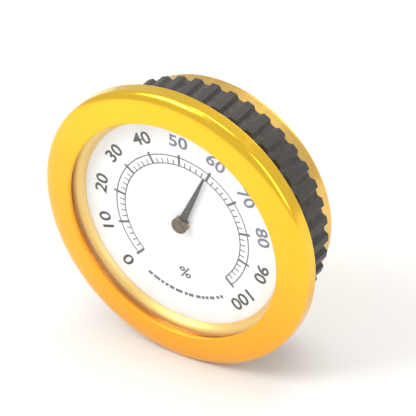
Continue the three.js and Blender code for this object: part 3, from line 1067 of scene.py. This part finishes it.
def makeCan():
    v, box = named(canValues), span("case_can")
    outside, inside = box.radius, box.radius - v.wall
    back, floorY = box.back, box.back - v.wall
    cup = lathed("caseCan", [
        (inside, box.front, v.rimRounds[0]), (outside, box.front, v.rimRounds[1]),
        (outside, back, v.edgeRound), (v.studHole, back, v.studHoleRound),
        (v.studHole, floorY, v.studHoleRound), (inside, floorY, v.insideRound),
    ], steps=240, roundSteps=8)
    tools = [plate("tool", [stadium(*v.slotReach, v.slotHalf, 360 * i / v.slotCount)],
                   floorY - 1, back + 1) for i in range(v.slotCount)]
    for degrees in movementValues["screwAngles"]:
        centre = pointAt(movementValues["screwCircle"], degrees)
        tools.append(drill(v.screwHole, floorY - 1, back + 1, centre))
    return combined(cup, tools, edge=v.edge)


gripValues = {
    "boreRadius": 15.45, "valleyRadius": 15.75, "ribs": 40,
    "ribShares": (0.3, 0.45, 0.85, 1.0),   # where a rib starts, is full, and ends
    "ribRounds": (0.12, 0.2, 0.2, 0.12), "edge": 0.14,
}


def makeGrip():
    v, box = named(gripValues), span("grip_ring")
    radii = v.valleyRadius, box.radius, box.radius, v.valleyRadius
    corners = []
    for i in range(v.ribs):
        for share, radius, fillet in zip(v.ribShares, radii, v.ribRounds):
            corners.append((*pointAt(radius, 90 - 360 * (i + share) / v.ribs), fillet))
    outline = softened(corners, steps=4)
    return plate("gripRing", [outline, circle(v.boreRadius, steps=240)], box.front, box.back, v.edge, 50)


washerValues = {"bore": 2.08, "thickness": 0.24, "rim": 3.3, "round": 0.05, "bendRound": 0.1}


def makeWasher():
    v, box = named(washerValues), span("friction_washer")
    front, back, radius = box.front, box.back, box.radius
    return lathed("frictionWasher", [
        (v.bore, front + 0.01, v.round),
        (v.rim, back - v.thickness - 0.08, v.bendRound),
        (radius, back - v.thickness, v.round), (radius, back, v.round),
        (v.rim - 0.1, back - 0.03, v.bendRound),
        (v.bore, front + v.thickness + 0.05, v.round),
    ], steps=120)


fitted(makeCan(), "case", ["case_can"], "case_brass")
fitted(makeGrip(), "case", ["grip_ring"], "soft_vinyl")
fitted(makeWasher(), "case", ["friction_washer"], "bright_steel")
print("case made")


# Calibration.

studValues = {
    "bearing": 0.45, "bearingEnd": 8.4, "neck": 1.9,
    "collar": (2.6, 7.06, 8.3),     # radius, front and back
    "shaft": 2.0, "groove": (1.7, 9.54, 9.9), "chamfer": 0.15,
    "round": 0.1, "grooveRound": 0.04, "crownRound": 0.18, "drillTip": 0.2,
    "slot": (0.6, 0.45),            # width and depth
    "slotReach": 4.0, "slotEdge": 0.03,
}


def makeStud():
    v, box = named(studValues), span("calibration_stud")
    collar, groove = v.collar, v.groove
    front, back = box.front, box.back
    stud = lathed("calibrationStud", [
        (0, v.bearingEnd + v.drillTip), (v.bearing, v.bearingEnd),
        (v.bearing, front + v.chamfer), (v.bearing + v.chamfer, front),
        (v.neck, front, v.round), (v.neck, collar[1]),
        (collar[0], collar[1], v.round), (collar[0], collar[2], v.round),
        (v.shaft, collar[2]), (v.shaft, groove[1], v.grooveRound),
        (groove[0], groove[1]), (groove[0], groove[2]),
        (v.shaft, groove[2], v.grooveRound), (v.shaft, back, v.crownRound), (0, back),
    ], steps=120)
    width, depth = v.slot
    return combined(stud, [slotCutter((0, 0), width, v.slotReach, back - depth, back + 1)], edge=v.slotEdge)


clipValues = {
    "inner": 1.74, "pocket": 2.3, "mouthHalf": 1.25,
    "pads": ((63, 90), (162, 198), (270, 297)),    # degrees clockwise from the top
    "pockets": ((102, 150), (210, 258)), "edge": 0.03,
}


def makeClip():
    # spring clip with three contact pads and two pockets between them
    v, box = named(clipValues), span("stud_retainer")
    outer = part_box("stud_retainer")[1].x / mm
    outerStart = math.degrees(math.asin(v.mouthHalf / outer))
    innerStart = math.degrees(math.asin(v.mouthHalf / v.pocket))
    outline = [pointAt(outer, a) for a in np.linspace(outerStart, 360 - outerStart, 90)]
    inner = []
    for start, end in sorted(v.pads + v.pockets):
        radius = v.inner if (start, end) in v.pads else v.pocket
        inner += [pointAt(radius, a) for a in np.linspace(start, end, 14)]
    mouthZ = pointAt(v.pocket, innerStart)[1]
    outline += [(-v.mouthHalf, mouthZ)] + inner[::-1] + [(v.mouthHalf, mouthZ)]
    return plate("studRetainer", [outline], box.front, box.back, v.edge, 40)


armValues = {
    "hubRadius": 3.1, "width": 2.4, "studHole": 1.93,
    "rivetHole": 0.42, "rivetReach": (7.5, 11.5), "thickness": 0.4,
    "tabRadius": 8.9,      # from the axis to the tab's inner face
    "edge": 0.05,
}


def makeArm():
    v = named(armValues)
    low, high = (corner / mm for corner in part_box("anchor_arm"))
    half, back = v.width / 2, high.y
    front = back - v.thickness
    join = math.degrees(math.asin(half / v.hubRadius))
    hub = [pointAt(v.hubRadius, a) for a in np.linspace(180 + join, 540 - join, 64)]
    tip = softened([
        (half, low.z + 2), (half, low.z, 0.5), (-half, low.z, 0.5), (-half, low.z + 2)], closed=False)
    strap = plate("anchorArm", [hub + tip, circle(v.studHole)], front, back)
    tab = plate("tab", [softened([
        (-half, low.y, 0.5), (half, low.y, 0.5), (half, back - 0.05), (-half, back - 0.05)])],
        v.tabRadius, v.tabRadius + v.thickness)
    # the tab was drawn upright, so it is turned to lie across the strap's end
    tab.data.transform(Matrix(((1, 0, 0, 0), (0, 0, 1, 0), (0, -1, 0, 0), (0, 0, 0, 1))))
    combined(strap, [tab], "UNION")
    return combined(strap, [downwards(drill(v.rivetHole, *v.rivetReach, steps=40))], edge=v.edge)


def downwards(piece):
    # turns what was made along Y to point down from the axis, at the depth of the coil's middle
    coil = span("hygro_coil")
    depth = Matrix.Translation((0, (coil.front + coil.back) / 2 * mm, 0))
    piece.data.transform(depth @ Matrix.Rotation(-math.pi / 2, 4, "X"))
    return piece


rivetValues = {"head": 0.2, "shank": 0.35, "innerHead": (0.45, 0.65), "outerHead": (0.5, 0.7), "round": 0.12}


def makeRivet():
    v = named(rivetValues)
    low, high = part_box("anchor_rivet")
    inner, outer, head = -high.z / mm, -low.z / mm, v.head
    return downwards(lathed("anchorRivet", [
        (0, inner), (v.innerHead[0], inner + 0.02, v.round),
        (v.innerHead[1], inner + head, 0.03), (v.shank, inner + head),
        (v.shank, outer - head), (v.outerHead[1], outer - head, 0.03),
        (v.outerHead[0], outer - 0.02, v.round), (0, outer),
    ], steps=48))


fitted(makeStud(), "calibration", ["calibration_stud"], "plain_brass")
fitted(makeClip(), "calibration", ["stud_retainer"], "bright_steel")
fitted(makeArm(), "calibration", ["anchor_arm"], "plain_brass")
fitted(makeRivet(), "calibration", ["anchor_rivet"], "bright_steel")
print("calibration stud and arm made")


# Coil.

coilValues = {
    "innerRadius": 1.95, "outerRadius": 8.7, "turns": 4.5,
    "endDegrees": 277,         # from +X towards +Z
    "thickness": 0.28, "stepsPerTurn": 72, "round": 0.05,
    "rivetHole": 0.4, "rivetReach": (8.0, 10.0),
}


def makeCoil():
    # a strip with softly rounded edges, swept along the spiral from the collet to the arm
    v, box = named(coilValues), span("hygro_coil")
    half = v.thickness / 2
    section = softened([
        (-half, box.front, v.round), (half, box.front, v.round),
        (half, box.back, v.round), (-half, box.back, v.round),
    ], steps=2)
    bm = bmesh.new()
    steps = int(v.turns * v.stepsPerTurn)
    rings = []
    for i in range(steps + 1):
        share = i / steps
        angle = math.radians(v.endDegrees - 360 * v.turns * (1 - share))
        radius = v.innerRadius + (v.outerRadius - v.innerRadius) * share
        cos, sin = math.cos(angle), math.sin(angle)
        rings.append([bm.verts.new(Vector(((radius + offset) * cos, y, (radius + offset) * sin)) * mm)
                      for offset, y in section])
    for ring, following in zip(rings, rings[1:]):
        for j in range(len(section)):
            k = (j + 1) % len(section)
            bm.faces.new((ring[j], ring[k], following[k], following[j]))
    bm.faces.new(rings[0])
    bm.faces.new(rings[-1][::-1])
    coil = fromBmesh("hygroCoil", bm)
    return combined(coil, [downwards(drill(v.rivetHole, *v.rivetReach, steps=32))])


def windShare(place):
    # how much of the pointer's turn a point of the coil takes: its share of the strip's length from the arm
    v = named(coilValues)
    degrees = math.degrees(math.atan2(place.z, place.x))
    near = (math.hypot(place.x, place.z) / mm - v.innerRadius) / (v.outerRadius - v.innerRadius)
    shares = [1 - (v.endDegrees - degrees - 360 * k) / (360 * v.turns) for k in range(-1, 7)]
    share = min(max(min(shares, key=lambda s: abs(s - near)), 0), 1)
    length = v.innerRadius * share + (v.outerRadius - v.innerRadius) * share ** 2 / 2
    return 1 - length / ((v.innerRadius + v.outerRadius) / 2)


coil = fitted(makeCoil(), None, ["hygro_coil"], "humidity_strip")
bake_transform(coil)
weights = [windShare(vert.co) for vert in coil.data.vertices]
print("coil wound")


# Floor, light and camera.

stageValues = {
    "floorSize": 3.0, "gap": 0.02, "floor": srgb(226, 225, 222),
    "floorWorn": srgb(214, 213, 210), "floorRoughness": 0.6,
    "world": (0.80, 0.81, 0.83, 1.0), "worldStrength": 0.98,
}


def makeFloor():
    v = named(stageValues)
    bm = bmesh.new()
    bmesh.ops.create_grid(bm, x_segments=1, y_segments=1, size=v.floorSize / 2)
    floor = fromBmesh("floor", bm, outward=False)
    floor.location.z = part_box("bezel")[0].z - v.gap * mm
    finish = Finish("floorPaint", Roughness=v.floorRoughness)
    tone = finish.noise(0.006, 3.0, 0.5)
    finish.set("Base Color", finish.blend(tone * 0.2, v.floor, v.floorWorn))
    floor.data.materials.append(finish.material)


lampValues = {
    # name: place in metres, size in metres, power in watts, colour
    "keyLamp": ((-0.45, -0.55, 0.75), 0.55, 6.5, (1.0, 0.99, 0.97)),
    "fillLamp": ((0.75, -0.35, 0.45), 0.6, 2.0, (0.97, 0.98, 1.0)),
    "topLamp": ((0.05, 0.25, 0.9), 0.5, 3.0, (1.0, 1.0, 1.0)),
    "rearLamp": ((0.1, 0.8, 0.35), 0.5, 1.6, (1.0, 0.99, 0.97)),
}


def aimed(item, place, target, roll=0):
    # a lamp or a camera at its place, looking at the target
    item.location = place
    item.rotation_mode = "QUATERNION"
    look = (target - place).to_track_quat("-Z", "Y")
    item.rotation_quaternion = look @ Matrix.Rotation(math.radians(roll), 3, "Z").to_quaternion()
    return item


def makeLamps():
    for name, (place, size, power, colour) in lampValues.items():
        light = bpy.data.lights.new(name, "AREA")
        light.shape = "SQUARE"
        light.size = size
        light.energy = power
        light.color = colour
        aimed(inScene(name, light), Vector(place), Vector())
    world = bpy.data.worlds.new("studio")
    world.use_nodes = True
    sky = world.node_tree.nodes["Background"].inputs
    sky["Color"].default_value = stageValues["world"]
    sky["Strength"].default_value = stageValues["worldStrength"]
    bpy.context.scene.world = world


cameraValues = {
    "azimuth": 35.65, "elevation": 34.99, "roll": -3.17,
    "distance": 1.117, "lens": 800,
    "aim": (1.2, 3.4, 0.3),      # millimetres
}


def makeCamera():
    v = named(cameraValues)
    data = bpy.data.cameras.new("camera")
    data.sensor_width = 36
    data.lens = v.lens
    data.clip_start, data.clip_end = 0.05, 20
    a, e = math.radians(v.azimuth), math.radians(v.elevation)
    back = Vector((math.sin(a) * math.cos(e), -math.cos(a) * math.cos(e), math.sin(e)))
    camera = aimed(inScene("camera", data), back * v.distance, Vector(v.aim) * mm, v.roll)
    bpy.context.scene.camera = camera


makeFloor()
makeLamps()
makeCamera()
bpy.context.scene.view_settings.view_transform = "Standard"
print("floor, lamps and camera placed")
